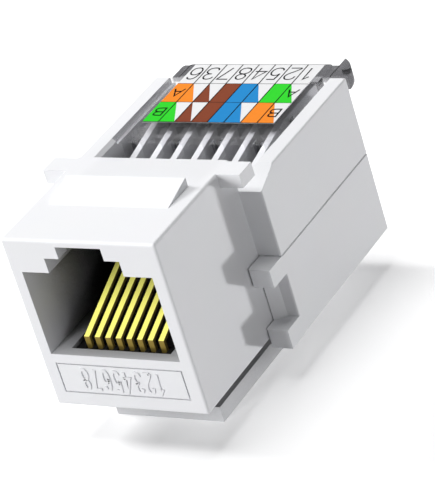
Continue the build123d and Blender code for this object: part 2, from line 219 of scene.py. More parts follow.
class JackMetals(bpy.types.PropertyGroup):
    """Colours of the plated metals, as painted lit tops and painted shaded sides"""

    # Painted light: the gold's lighter colour on upward faces
    gold_lit_top_colour: bpy.props.FloatVectorProperty(
        name="Gold colour",
        description="Plating of the spring contacts",
        subtype="COLOR",
        size=3,
        min=0,
        max=1,
        default=(0.93, 0.89, 0.20),
    )
    # Painted shade: the gold's darker colour on all but upward faces
    gold_shaded_sides: bpy.props.FloatVectorProperty(
        name="Gold flank",
        description="Duller plating of the contacts' cut ends and sides",
        subtype="COLOR",
        size=3,
        min=0,
        max=1,
        default=(0.23, 0.165, 0.038),
    )
    # Painted light: the tin's lighter colour on upward faces
    tin_lit_top_colour: bpy.props.FloatVectorProperty(
        name="Tin colour",
        description="Plating of the wire terminals",
        subtype="COLOR",
        size=3,
        min=0,
        max=1,
        default=(0.75, 0.76, 0.78),
    )
    # Painted shade: the tin's darker colour on all but upward faces
    tin_shaded_sides: bpy.props.FloatVectorProperty(
        name="Tin flank",
        description="Duller plating of the terminals' cut sides",
        subtype="COLOR",
        size=3,
        min=0,
        max=1,
        default=(0.525, 0.532, 0.546),
    )


class JackCap(bpy.types.PropertyGroup):
    """Clearness and tints of the wire cap"""

    clearness: bpy.props.FloatProperty(
        name="Clearness",
        description="Share of the view that passes straight through each face",
        subtype="FACTOR",
        min=0,
        max=1,
        default=0.88,
    )
    waviness: bpy.props.FloatProperty(
        name="Waviness",
        description="Strength of the slow waves in the cap's skin",
        subtype="FACTOR",
        min=0,
        max=1,
        default=0.6,
    )
    plate_tint: bpy.props.FloatVectorProperty(
        name="Plate tint",
        description="Tint of the plate that carries the label",
        subtype="COLOR",
        size=3,
        min=0,
        max=1,
        default=(0.97, 0.97, 0.975),
    )
    tab_tint: bpy.props.FloatVectorProperty(
        name="Tab tint",
        description="Smokier tint of the thick corner tab",
        subtype="COLOR",
        size=3,
        min=0,
        max=1,
        default=(0.36, 0.36, 0.37),
    )


class JackLabel(bpy.types.PropertyGroup):
    """Sizes and colours of the printed wiring label"""

    row_b_depth: bpy.props.FloatProperty(
        name="Row B depth",
        description="Front to rear size of the front colour row",
        unit="LENGTH",
        precision=6,
        default=0.00329,
    )
    row_a_depth: bpy.props.FloatProperty(
        name="Row A depth",
        description="Front to rear size of the rear colour row",
        unit="LENGTH",
        precision=6,
        default=0.0031,
    )
    line_width: bpy.props.FloatProperty(
        name="Line width",
        description="Width of the black lines between the cells",
        unit="LENGTH",
        precision=6,
        default=0.00011,
    )
    digit_height: bpy.props.FloatProperty(
        name="Digit height",
        description="Front to rear size of the pin numbers",
        unit="LENGTH",
        precision=6,
        default=0.0019,
    )
    digit_width: bpy.props.FloatProperty(
        name="Digit width",
        description="Width of the pin numbers",
        unit="LENGTH",
        precision=6,
        default=0.00115,
    )
    digit_stroke: bpy.props.FloatProperty(
        name="Digit stroke",
        description="Width of the pin numbers' strokes",
        unit="LENGTH",
        precision=6,
        default=0.00014,
    )
    digit_setback: bpy.props.FloatProperty(
        name="Digit setback",
        description="From the front of the number row to the pin numbers",
        unit="LENGTH",
        precision=6,
        default=0.0007,
    )
    letter_height: bpy.props.FloatProperty(
        name="Letter height",
        description="Front to rear size of the row letters",
        unit="LENGTH",
        precision=6,
        default=0.0012,
    )
    letter_stroke: bpy.props.FloatProperty(
        name="Letter stroke",
        description="Width of the row letters' strokes",
        unit="LENGTH",
        precision=6,
        default=0.00015,
    )
    orange: bpy.props.FloatVectorProperty(
        name="Orange", description="Orange wire pair", subtype="COLOR", size=3, min=0, max=1,
        default=(0.92, 0.27, 0.035),
    )
    green: bpy.props.FloatVectorProperty(
        name="Green", description="Green wire pair", subtype="COLOR", size=3, min=0, max=1,
        default=(0.042, 0.67, 0.038),
    )
    blue: bpy.props.FloatVectorProperty(
        name="Blue", description="Blue wire pair", subtype="COLOR", size=3, min=0, max=1,
        default=(0.028, 0.26, 0.61),
    )
    brown: bpy.props.FloatVectorProperty(
        name="Brown", description="Brown wire pair", subtype="COLOR", size=3, min=0, max=1,
        default=(0.25, 0.068, 0.036),
    )


class JackNumerals(bpy.types.PropertyGroup):
    """Raised numerals on the framed front panel"""

    level: bpy.props.FloatProperty(
        name="Level",
        description="Height of the numerals' middle above the front face's lower edge",
        unit="LENGTH",
        precision=6,
        default=0.002765,
    )
    height: bpy.props.FloatProperty(
        name="Height",
        description="Height of the raised numerals",
        unit="LENGTH",
        precision=6,
        default=0.0019,
    )
    width: bpy.props.FloatProperty(
        name="Width",
        description="Width of the raised numerals",
        unit="LENGTH",
        precision=6,
        default=0.00066,
    )
    stroke: bpy.props.FloatProperty(
        name="Stroke",
        description="Width of the numerals' strokes",
        unit="LENGTH",
        precision=6,
        default=0.00026,
    )
    relief: bpy.props.FloatProperty(
        name="Relief",
        description="How far the numerals stand out of the panel",
        unit="LENGTH",
        precision=6,
        default=0.00013,
    )


class JackStudio(bpy.types.PropertyGroup):
    """Floor, lamps and camera"""

    lens: bpy.props.FloatProperty(
        name="Lens",
        description="Focal length on a 36 mm sensor",
        unit="CAMERA",
        default=216.4,
    )
    azimuth: bpy.props.FloatProperty(
        name="Azimuth",
        description="Camera's turn about the jack, from the front towards +X",
        subtype="ANGLE",
        default=math.radians(37.316),
    )
    elevation: bpy.props.FloatProperty(
        name="Elevation",
        description="Camera's height above the horizon",
        subtype="ANGLE",
        default=math.radians(28.238),
    )
    roll: bpy.props.FloatProperty(
        name="Roll",
        description="Camera's turn about its own line of sight",
        subtype="ANGLE",
        default=math.radians(-17.565),
    )
    place: bpy.props.FloatVectorProperty(
        name="Place",
        description="Where the camera stands",
        subtype="TRANSLATION",
        unit="LENGTH",
        size=3,
        precision=6,
        default=(0.132469, -0.156624, 0.121734),
    )
    ambient: bpy.props.FloatProperty(
        name="Ambient",
        description="Even light from all sides",
        min=0,
        default=0.02,
    )


def new_material(name):
    """A material with an empty node tree."""
    material = bpy.data.materials.new(name)
    material.use_nodes = True
    material.node_tree.nodes.clear()
    return material


def add_node(tree, kind, **values):
    """A node of a kind, with its own settings and the values of its named inputs."""
    node = tree.nodes.new(kind)
    for name, value in values.items():
        if name in node.inputs:
            node.inputs[name].default_value = value
        else:
            setattr(node, name, value)
    return node


def set_inputs(node, **values):
    """Set input sockets by name, with underscores for spaces."""
    for name, value in values.items():
        node.inputs[name.replace("_", " ")].default_value = value
    return node


def new_group(name, inputs, outputs):
    """A shader node group with float, colour or vector sockets."""
    group = bpy.data.node_groups.new(name, "ShaderNodeTree")
    for in_out, sockets in (("INPUT", inputs), ("OUTPUT", outputs)):
        for label, kind, default in sockets:
            socket = group.interface.new_socket(name=label, in_out=in_out, socket_type=kind)
            if default is not None:
                socket.default_value = default
    return group, group.nodes.new("NodeGroupInput"), group.nodes.new("NodeGroupOutput")


def skin_group():
    """Moulded skin: a fine eroded grain, slow gloss changes and softened edges."""
    group, given, result = new_group(
        SKIN,
        [
            ("Grain size", "NodeSocketFloat", 4500.0),
            ("Grain depth", "NodeSocketFloat", 0.15),
            ("Edge radius", "NodeSocketFloat", 0.00006),
            ("Roughness", "NodeSocketFloat", 0.4),
        ],
        [("Normal", "NodeSocketVector", None), ("Roughness", "NodeSocketFloat", None)],
    )
    link = group.links.new
    place = group.nodes.new("ShaderNodeTexCoord")
    grain = add_node(group, "ShaderNodeTexNoise", Detail=3.0, Roughness=0.6)
    flow = add_node(group, "ShaderNodeTexNoise", Scale=160.0, Detail=2.0)
    edge = add_node(group, "ShaderNodeBevel", samples=6)
    bump = add_node(group, "ShaderNodeBump", Distance=0.02 * MM)
    gloss_drift = 0.12
    drift = add_node(group, "ShaderNodeMath", operation="MULTIPLY_ADD")
    drift.inputs[1].default_value = gloss_drift
    settle = add_node(group, "ShaderNodeMath", operation="SUBTRACT")
    settle.inputs[1].default_value = gloss_drift / 2
    link(place.outputs["Object"], grain.inputs["Vector"])
    link(place.outputs["Object"], flow.inputs["Vector"])
    link(given.outputs["Grain size"], grain.inputs["Scale"])
    link(given.outputs["Edge radius"], edge.inputs["Radius"])
    link(grain.outputs["Fac"], bump.inputs["Height"])
    link(given.outputs["Grain depth"], bump.inputs["Strength"])
    link(edge.outputs["Normal"], bump.inputs["Normal"])
    link(bump.outputs["Normal"], result.inputs["Normal"])
    link(flow.outputs["Fac"], drift.inputs[0])
    link(given.outputs["Roughness"], drift.inputs[2])
    link(drift.outputs["Value"], settle.inputs[0])
    link(settle.outputs["Value"], result.inputs["Roughness"])
    return group


def painted_shade_group(name, own_part):
    """Painted shade: a colour that darkens where little light reaches, found by ambient occlusion, with a
    slow mottle.

    Lean turns the side that the light is looked for on. With own_part, other parts don't shade.
    """
    group, given, result = new_group(
        name,
        [
            ("Open", "NodeSocketColor", (0.8, 0.8, 0.8, 1.0)),
            ("Deep", "NodeSocketColor", (0.2, 0.2, 0.2, 1.0)),
            ("Reach", "NodeSocketFloat", 0.004),
            ("Shut below", "NodeSocketFloat", 0.05),
            ("Open above", "NodeSocketFloat", 0.6),
            ("Mottle", "NodeSocketFloat", 0.02),
            ("Lean", "NodeSocketVector", (0.0, 0.0, 0.0)),
        ],
        [("Color", "NodeSocketColor", None)],
    )
    link = group.links.new
    place = group.nodes.new("ShaderNodeTexCoord")
    cloud = add_node(group, "ShaderNodeTexNoise", Scale=260.0, Detail=3.0)
    facing = group.nodes.new("ShaderNodeNewGeometry")
    leaning = add_node(group, "ShaderNodeVectorMath", operation="ADD")
    # Painted shade: ambient occlusion darkens the colour in recesses and between parts
    shade = add_node(group, "ShaderNodeAmbientOcclusion", samples=16, only_local=own_part)
    curve = add_node(group, "ShaderNodeMapRange", interpolation_type="SMOOTHSTEP")
    mix = add_node(group, "ShaderNodeMix", data_type="RGBA")
    tint = add_node(group, "ShaderNodeMix", data_type="RGBA", blend_type="MULTIPLY")
    link(place.outputs["Object"], cloud.inputs["Vector"])
    link(facing.outputs["Normal"], leaning.inputs[0])
    link(given.outputs["Lean"], leaning.inputs[1])
    link(leaning.outputs["Vector"], shade.inputs["Normal"])
    link(given.outputs["Reach"], shade.inputs["Distance"])
    link(shade.outputs["AO"], curve.inputs["Value"])
    link(given.outputs["Shut below"], curve.inputs["From Min"])
    link(given.outputs["Open above"], curve.inputs["From Max"])
    link(curve.outputs["Result"], mix.inputs["Factor"])
    link(given.outputs["Deep"], mix.inputs["A"])
    link(given.outputs["Open"], mix.inputs["B"])
    link(given.outputs["Mottle"], tint.inputs["Factor"])
    link(mix.outputs["Result"], tint.inputs["A"])
    link(cloud.outputs["Color"], tint.inputs["B"])
    link(tint.outputs["Result"], result.inputs["Color"])
    return group


def skin_node(tree, **values):
    """A placed copy of the moulded skin group, with its own values."""
    group = bpy.data.node_groups.get(SKIN) or skin_group()
    node = add_node(tree, "ShaderNodeGroup", node_tree=group)
    return set_inputs(node, **values)


def painted_shade_node(tree, name, **values):
    """A placed copy of a painted shade group, with its own values."""
    group = bpy.data.node_groups.get(name) or painted_shade_group(name, own_part=name == OWN_PAINTED_SHADE)
    node = add_node(tree, "ShaderNodeGroup", node_tree=group)
    return set_inputs(node, **values)


def solid(colour):
    """A colour property as red, green, blue and alpha."""
    return (*colour, 1.0)


def moulded_material(name, colour, shaded_share, roughness, grain_depth, edge_radius, painted_shade_name, painted_shade):
    """Moulded plastic: eroded grain, softened edges, and painted shade that darkens its colour to a share
    of it in its recesses.
    """
    material = new_material(name)
    tree = material.node_tree
    surface = tree.nodes.new("ShaderNodeBsdfPrincipled")
    output = tree.nodes.new("ShaderNodeOutputMaterial")
    skin = skin_node(tree, Grain_depth=grain_depth, Edge_radius=edge_radius, Roughness=roughness)
    # Painted shade: the colour darkens to its shaded share in recesses
    shaded = [shaded_share * channel for channel in colour]
    tone = painted_shade_node(tree, painted_shade_name, Open=solid(colour), Deep=solid(shaded), **painted_shade)
    tree.links.new(tone.outputs["Color"], surface.inputs["Base Color"])
    tree.links.new(skin.outputs["Roughness"], surface.inputs["Roughness"])
    tree.links.new(skin.outputs["Normal"], surface.inputs["Normal"])
    tree.links.new(surface.outputs["BSDF"], output.inputs["Surface"])
    return material


def lit_top_colour(tree, lit_top, shaded_sides):
    """Painted light and shade: a lighter colour on upward faces that runs to a darker one on all others."""
    place = tree.nodes.new("ShaderNodeTexCoord")
    axes = tree.nodes.new("ShaderNodeSeparateXYZ")
    facing = tree.nodes.new("ShaderNodeMapRange")
    facing.inputs["From Min"].default_value, facing.inputs["From Max"].default_value = LIT_TOP_TILT
    mix = add_node(tree, "ShaderNodeMix", data_type="RGBA")
    mix.inputs["A"].default_value = solid(shaded_sides)
    mix.inputs["B"].default_value = solid(lit_top)
    tree.links.new(place.outputs["Normal"], axes.inputs["Vector"])
    tree.links.new(axes.outputs["Z"], facing.inputs["Value"])
    tree.links.new(facing.outputs["Result"], mix.inputs["Factor"])
    return mix.outputs["Result"]


def plated_material(name, lit_top, shaded_sides, roughness, metallic, reach, opening):
    """Plated metal: fine drawing marks, painted light on upward faces, painted shade on the others and in
    recesses, and a quiet bounce.
    """
    material = new_material(name)
    tree = material.node_tree
    surface = add_node(tree, "ShaderNodeBsdfPrincipled", Metallic=metallic)
    output = tree.nodes.new("ShaderNodeOutputMaterial")
    place = tree.nodes.new("ShaderNodeTexCoord")
    stretch = tree.nodes.new("ShaderNodeMapping")
    stretch.inputs["Scale"].default_value = DRAWN_MARKS
    marks = add_node(tree, "ShaderNodeTexNoise", Scale=1.0, Detail=2.0)
    edge = add_node(tree, "ShaderNodeBevel", samples=6, Radius=0.03 * MM)
    bump = add_node(tree, "ShaderNodeBump", Distance=0.01 * MM, Strength=0.25)
    gloss_spread = 0.06
    spread = tree.nodes.new("ShaderNodeMapRange")
    spread.inputs["To Min"].default_value = roughness - gloss_spread
    spread.inputs["To Max"].default_value = roughness + gloss_spread
    shaded = solid([PLATED_SHADE_SHARE * channel for channel in shaded_sides])
    # Painted shade: the colour darkens in recesses within the reach, by ambient occlusion
    tone = painted_shade_node(
        tree, SHARED_PAINTED_SHADE, Deep=shaded, Reach=reach, Shut_below=0.1, Open_above=opening, Mottle=0.04
    )
    path = tree.nodes.new("ShaderNodeLightPath")
    bounced = add_node(tree, "ShaderNodeMix", data_type="RGBA")
    bounced.inputs["B"].default_value = shaded
    link = tree.links.new
    link(lit_top_colour(tree, lit_top, shaded_sides), tone.inputs["Open"])
    link(path.outputs["Is Diffuse Ray"], bounced.inputs["Factor"])
    link(tone.outputs["Color"], bounced.inputs["A"])
    link(place.outputs["Object"], stretch.inputs["Vector"])
    link(stretch.outputs["Vector"], marks.inputs["Vector"])
    link(marks.outputs["Fac"], bump.inputs["Height"])
    link(marks.outputs["Fac"], spread.inputs["Value"])
    link(edge.outputs["Normal"], bump.inputs["Normal"])
    link(bump.outputs["Normal"], surface.inputs["Normal"])
    link(spread.outputs["Result"], surface.inputs["Roughness"])
    link(bounced.outputs["Result"], surface.inputs["Base Color"])
    link(surface.outputs["BSDF"], output.inputs["Surface"])
    return material


def fade_in(tree, axis, start, end):
    """A value that runs from 0 to 1 between two places along an axis."""
    ramp = tree.nodes.new("ShaderNodeMapRange")
    ramp.inputs["From Min"].default_value = start
    ramp.inputs["From Max"].default_value = end
    tree.links.new(axis, ramp.inputs["Value"])
    return ramp.outputs["Result"]


def clear_material(name, clearness, waviness, plate_tint, tab_tint):
    """Clear polycarbonate: seen straight through for a share, bent by its wavy skin for the rest.

    The fingers are clearer than the plate, and the thick corner tab behind the shells is smokier.
    """
    material = new_material(name)
    tree = material.node_tree
    bent = add_node(tree, "ShaderNodeBsdfPrincipled", Roughness=0.03, IOR=1.3)
    set_inputs(bent, Transmission_Weight=0.9, Coat_Weight=1.0, Coat_Roughness=0.03, Coat_IOR=1.5)
    straight = tree.nodes.new("ShaderNodeBsdfTransparent")
    body = add_node(tree, "ShaderNodeVolumeAbsorption", Density=300.0)
    body.inputs["Color"].default_value = (0.59, 0.58, 0.6, 1.0)
    place = tree.nodes.new("ShaderNodeTexCoord")
    axes = tree.nodes.new("ShaderNodeSeparateXYZ")
    plate = add_node(tree, "ShaderNodeMix", data_type="RGBA")
    plate.inputs["A"].default_value = (1.0, 1.0, 1.0, 1.0)
    plate.inputs["B"].default_value = solid(plate_tint)
    tab = add_node(tree, "ShaderNodeMix", data_type="RGBA")
    tab.inputs["B"].default_value = solid(tab_tint)
    waves = add_node(tree, "ShaderNodeTexNoise", Scale=1700.0, Detail=1.0)
    edge = add_node(tree, "ShaderNodeBevel", samples=6, Radius=0.05 * MM)
    bump = add_node(tree, "ShaderNodeBump", Distance=0.12 * MM, Strength=waviness)
    path = tree.nodes.new("ShaderNodeLightPath")
    share = add_node(tree, "ShaderNodeMath", operation="MAXIMUM")
    share.inputs[1].default_value = clearness
    mix = tree.nodes.new("ShaderNodeMixShader")
    output = tree.nodes.new("ShaderNodeOutputMaterial")
    link = tree.links.new
    link(place.outputs["Object"], axes.inputs["Vector"])
    link(fade_in(tree, axes.outputs["Y"], PLATE_FRONT - 0.1 * MM, PLATE_FRONT), plate.inputs["Factor"])
    link(fade_in(tree, axes.outputs["Y"], SHELL_BACK, SHELL_BACK + 0.3 * MM), tab.inputs["Factor"])
    link(plate.outputs["Result"], tab.inputs["A"])
    link(tab.outputs["Result"], bent.inputs["Base Color"])
    link(tab.outputs["Result"], straight.inputs["Color"])
    link(place.outputs["Object"], waves.inputs["Vector"])
    link(waves.outputs["Fac"], bump.inputs["Height"])
    link(edge.outputs["Normal"], bump.inputs["Normal"])
    link(bump.outputs["Normal"], bent.inputs["Normal"])
    link(bump.outputs["Normal"], bent.inputs["Coat Normal"])
    link(path.outputs["Is Shadow Ray"], share.inputs[0])
    link(share.outputs["Value"], mix.inputs["Fac"])
    link(bent.outputs["BSDF"], mix.inputs[1])
    link(straight.outputs["BSDF"], mix.inputs[2])
    link(mix.outputs["Shader"], output.inputs["Surface"])
    link(body.outputs["Volume"], output.inputs["Volume"])
    return material


def printed_material(name, colour, roughness=0.5, specular=0.0):
    """Ink or film on the label, with a faint fibre in its tone."""
    material = new_material(name)
    tree = material.node_tree
    surface = tree.nodes.new("ShaderNodeBsdfPrincipled")
    output = tree.nodes.new("ShaderNodeOutputMaterial")
    place = tree.nodes.new("ShaderNodeTexCoord")
    fibre = add_node(tree, "ShaderNodeTexNoise", Scale=3000.0, Detail=3.0)
    tone = tree.nodes.new("ShaderNodeMapRange")
    tone.inputs["To Min"].default_value = 0.95
    tone.inputs["To Max"].default_value = 1.03
    tint = add_node(tree, "ShaderNodeMix", data_type="RGBA", blend_type="MULTIPLY", Factor=1.0)
    tint.inputs["A"].default_value = colour
    set_inputs(surface, Roughness=roughness, Specular_IOR_Level=specular)
    link = tree.links.new
    link(place.outputs["Object"], fibre.inputs["Vector"])
    link(fibre.outputs["Fac"], tone.inputs["Value"])
    link(tone.outputs["Result"], tint.inputs["B"])
    link(tint.outputs["Result"], surface.inputs["Base Color"])
    link(surface.outputs["BSDF"], output.inputs["Surface"])
    return material


def wear(node_name, material):
    """Give a CAD node's object one material."""
    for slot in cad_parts[node_name].material_slots:
        slot.material = material


def smooth_path(points, steps=5):
    """Points along a smooth curve that passes through the given ones."""
    path = [Vector(point) for point in points]
    first = path[0] * 2 - path[1]
    last = path[-1] * 2 - path[-2]
    padded = [first, *path, last]
    made = []
    for a, b, c, d in zip(padded, padded[1:], padded[2:], padded[3:]):
        for step in range(steps):
            t = step / steps
            squared = (2 * a - 5 * b + 4 * c - d) * t ** 2
            cubed = (3 * b - a - 3 * c + d) * t ** 3
            made.append(0.5 * (2 * b + (c - a) * t + squared + cubed))
    return [*made, path[-1]]


def ribbon_edges(path, width):
    """Left and right edges of a stroke, mitred at its turns but never far beyond them."""
    sharpest = 0.5
    runs = [(b - a).normalized() for a, b in zip(path, path[1:])]
    left, right = [], []
    for point, before, after in zip(path, [runs[0], *runs], [*runs, runs[-1]]):
        normal = (before + after).orthogonal().normalized()
        reach = width / 2 / max(sharpest, normal.dot(after.orthogonal().normalized()))
        left.append(point + normal * reach)
        right.append(point - normal * reach)
    return left, right


def glyph_strokes(character, width, height, stroke_width):
    """Edges of each stroke of a glyph that is centred on the origin."""
    strokes = []
    for kind, points in GLYPHS[character]:
        placed = [Vector(((x - 0.5) * width, (y - 0.5) * height)) for x, y in points]
        path = smooth_path(placed) if kind == "smooth" else placed
        strokes.append(ribbon_edges(path, stroke_width))
    return strokes


class PrintSheet:
    """Collects flat fields, lines and strokes of several inks into one mesh."""

    def __init__(self, inks):
        self.mesh = bmesh.new()
        self.inks = list(inks)

    def face(self, verts, ink):
        """One face through vertices, in an ink."""
        self.mesh.faces.new(verts).material_index = self.inks.index(ink)

    def field(self, corners, ink):
        """A flat field through the corners."""
        self.face([self.mesh.verts.new(corner) for corner in corners], ink)

    def rectangle(self, x_range, y_range, level, ink):
        """A flat rectangle."""
        (x0, x1), (y0, y1) = x_range, y_range
        self.field([(x0, y0, level), (x1, y0, level), (x1, y1, level), (x0, y1, level)], ink)

    def rung(self, place, edges, levels):
        """Vertices across a stroke: its left and right edge at each level."""
        points = [Vector((edge.x, edge.y, level)) for level in levels for edge in edges]
        return [self.mesh.verts.new(place @ point) for point in points]

    def glyph(self, strokes, place, ink, relief=0.0):
        """A glyph's strokes, placed by a matrix, flat or raised as closed ribs."""
        levels = (relief, 0.0) if relief else (0.0,)
        order = (0, 1, 3, 2) if relief else (0, 1)
        sides = list(zip(order, order[1:] + order[:1])) if relief else [order]
        for left, right in strokes:
            rungs = [self.rung(place, edges, levels) for edges in zip(left, right)]
            for near, far in zip(rungs, rungs[1:]):
                for start, end in sides:
                    self.face((near[start], near[end], far[end], far[start]), ink)
            if relief:
                for rung in (rungs[0], rungs[-1]):
                    self.face([rung[corner] for corner in order], ink)

    def to_object(self, name, materials):
        """The finished object, with one material for each ink."""
        bmesh.ops.recalc_face_normals(self.mesh, faces=self.mesh.faces)
        data = bpy.data.meshes.new(name)
        self.mesh.to_mesh(data)
        self.mesh.free()
        for ink in self.inks:
            data.materials.append(materials[ink])
        made = bpy.data.objects.new(name, data)
        bpy.context.scene.collection.objects.link(made)
        return made


class JACK_OT_mouldings(bpy.types.Operator):
    """Finish the white housings and the latch, the black insert and the board"""

    bl_idname = "jack.mouldings"
    bl_label = "Finish Mouldings"

    def execute(self, context):
        values = context.scene.jack_mouldings
        shell = {"colour": values.shell_colour, "roughness": values.shell_roughness, "grain_depth": 0.12}
        insert = {"colour": values.insert_colour, "roughness": 0.6, "grain_depth": 0.3}
        board = {"colour": values.board_colour, "roughness": 0.3, "grain_depth": 0.4}
        # Material, node, plastic, share of the colour kept as painted shade in recesses, and how that
        # painted shade deepens
        finishes = (
            # The four white materials are copies of one plastic that differ only in their painted shade
            (PLAIN_WHITE, "rear_base", shell, 0.12, OWN_PAINTED_SHADE, PLAIN_PAINTED_SHADE),
            ("white comb plastic", "terminal_housing", shell, 0.75, OWN_PAINTED_SHADE, COMB_PAINTED_SHADE),
            ("white socket plastic", "front_housing", shell, 0.02, SHARED_PAINTED_SHADE, SOCKET_PAINTED_SHADE),
            ("white latch plastic", "release_latch", shell, 0.2, SHARED_PAINTED_SHADE, LATCH_PAINTED_SHADE),
            ("black insert plastic", "contact_carrier", insert, 0.4, OWN_PAINTED_SHADE, PLAIN_PAINTED_SHADE),
            ("board lacquer", "circuit_board", board, 0.5, OWN_PAINTED_SHADE, PLAIN_PAINTED_SHADE),
        )
        for name, node_name, plastic, shaded_share, painted_shade_name, painted_shade in finishes:
            material = moulded_material(
                name,
                shaded_share=shaded_share,
                edge_radius=values.edge_radius,
                painted_shade_name=painted_shade_name,
                painted_shade=painted_shade,
                **plastic,
            )
            wear(node_name, material)
        return {"FINISHED"}


class JACK_OT_metals(bpy.types.Operator):
    """Plate the eight spring contacts with gold and the eight wire terminals with tin"""

    bl_idname = "jack.metals"
    bl_label = "Plate Metals"

    def execute(self, context):
        values = context.scene.jack_metals
        # Both platings paint light on upward faces, shade on the other faces, and shade in recesses within
        # their reach
        gold = plated_material(
            "gold plating",
            values.gold_lit_top_colour,
            values.gold_shaded_sides,
            roughness=0.42,
            metallic=0.3,
            reach=6.0 * MM,
            opening=0.6,
        )
        tin = plated_material(
            "tin plating",
            values.tin_lit_top_colour,
            values.tin_shaded_sides,
            roughness=0.22,
            metallic=1.0,
            reach=1.0 * MM,
            opening=0.6,
        )
        for name in CONTACTS:
            wear(name, gold)
        for name in TERMINALS:
            wear(name, tin)
        return {"FINISHED"}


class JACK_OT_cap(bpy.types.Operator):
    """Make the wire cap of clear polycarbonate"""

    bl_idname = "jack.cap"
    bl_label = "Clear Wire Cap"

    def execute(self, context):
        values = context.scene.jack_cap
        clear = clear_material(
            "clear polycarbonate",
            clearness=values.clearness,
            waviness=values.waviness,
            plate_tint=values.plate_tint,
            tab_tint=values.tab_tint,
        )
        wear("wire_cap", clear)
        return {"FINISHED"}


class JACK_OT_label(bpy.types.Operator):
    """Print the wiring label: colour fields, lines, row letters and pin numbers"""

    bl_idname = "jack.label"
    bl_label = "Print Label"

    def execute(self, context):
        values = context.scene.jack_label
        film = printed_material("label film", FILM_WHITE, roughness=0.45, specular=0.3)
        wear("wiring_label", film)
        inks = {name: printed_material(f"{name} ink", solid(getattr(values, name)))
                for name in ("orange", "green", "blue", "brown")}
        inks["black"] = printed_material("black ink", INK_BLACK, roughness=0.4)
        sheet = PrintSheet(inks)
        column = (LABEL_HIGH.x - LABEL_LOW.x) / len(LABEL_PINS)
        field_level, line_level, glyph_level = (LABEL_HIGH.z + lift for lift in INK_LIFTS)
        middles = [LABEL_LOW.x + column * (index + 0.5) for index in range(len(LABEL_PINS))]
        row_a_front = LABEL_LOW.y + values.row_b_depth
        numbers_front = row_a_front + values.row_a_depth
        rows = ((LABEL_LOW.y, row_a_front, ROW_B, "B"), (row_a_front, numbers_front, ROW_A, "A"))
        turned = Matrix.Rotation(math.pi, 4, "Z")
        for front, rear, colours, letter in rows:
            for middle, colour in zip(middles, colours):
                left, right = middle - column / 2, middle + column / 2
                ink = colour.removesuffix("_stripe")
                outline = [(left, front), (right, front), (left, rear)]
                if ink == colour:
                    outline.insert(2, (right, rear))
                sheet.field([(x, y, field_level) for x, y in outline], ink)
            strokes = glyph_strokes(letter, 0.62 * column, values.letter_height, values.letter_stroke)
            for middle in (middles[0], middles[-1]):
                place = Matrix.Translation((middle, (front + rear) / 2, glyph_level)) @ turned
                sheet.glyph(strokes, place, "black")
        half_line = values.line_width / 2
        width, depth = (LABEL_LOW.x, LABEL_HIGH.x), (LABEL_LOW.y, LABEL_HIGH.y)
        for middle in middles[1:]:
            x = middle - column / 2
            sheet.rectangle((x - half_line, x + half_line), depth, line_level, "black")
        for y in (LABEL_LOW.y + half_line, row_a_front, numbers_front):
            sheet.rectangle(width, (y - half_line, y), line_level, "black")
        numbers_middle = numbers_front + values.digit_setback + values.digit_height / 2
        for middle, pin in zip(middles, LABEL_PINS):
            strokes = glyph_strokes(pin, values.digit_width, values.digit_height, values.digit_stroke)
            place = Matrix.Translation((middle, numbers_middle, glyph_level)) @ turned
            sheet.glyph(strokes, place, "black")
        label_print = sheet.to_object("label_print", inks)
        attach(label_print, "cap")
        return {"FINISHED"}


class JACK_OT_numerals(bpy.types.Operator):
    """Raise the contacts' numbers on the front panel, each under its contact"""

    bl_idname = "jack.numerals"
    bl_label = "Raise Numerals"

    def execute(self, context):
        values = context.scene.jack_numerals
        upside_down = Matrix.Rotation(math.pi / 2, 4, "X") @ Matrix.Rotation(math.pi, 4, "Z")
        sheet = PrintSheet(["white"])
        for number in range(1, len(CONTACTS) + 1):
            low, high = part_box(f"contact_{number}")
            character = str(len(CONTACTS) + 1 - number)
            place = Matrix.Translation(((low.x + high.x) / 2, FRONT_FACE, values.level)) @ upside_down
            strokes = glyph_strokes(character, values.width, values.height, values.stroke)
            sheet.glyph(strokes, place, "white", values.relief)
        white = {"white": bpy.data.materials[PLAIN_WHITE]}
        numerals = sheet.to_object("panel_numerals", white)
        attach(numerals, "housing")
        return {"FINISHED"}


def lamp(name, direction, distance, size, level, mirrored):
    """A square lamp that faces the jack, with the level it gives a surface square to it.

    Where mirrored is off, gloss doesn't show the lamp.
    """
    data = bpy.data.lights.new(name, "AREA")
    data.size = size
    data.energy = level * math.pi ** 2 * distance ** 2
    made = bpy.data.objects.new(name, data)
    middle = (CAD_LOW + CAD_HIGH) / 2
    towards = Vector(direction).normalized()
    made.location = middle + towards * distance
    made.rotation_mode = "QUATERNION"
    made.rotation_quaternion = towards.to_track_quat("Z", "Y")
    made.visible_glossy = mirrored
    bpy.context.scene.collection.objects.link(made)
    return made


def seen_rays(tree):
    """A value of 1 for the rays that show the background: camera, glossy and transmission."""
    path = tree.nodes.new("ShaderNodeLightPath")
    first = add_node(tree, "ShaderNodeMath", operation="MAXIMUM")
    second = add_node(tree, "ShaderNodeMath", operation="MAXIMUM")
    tree.links.new(path.outputs["Is Camera Ray"], first.inputs[0])
    tree.links.new(path.outputs["Is Glossy Ray"], first.inputs[1])
    tree.links.new(first.outputs["Value"], second.inputs[0])
    tree.links.new(path.outputs["Is Transmission Ray"], second.inputs[1])
    return second.outputs["Value"]


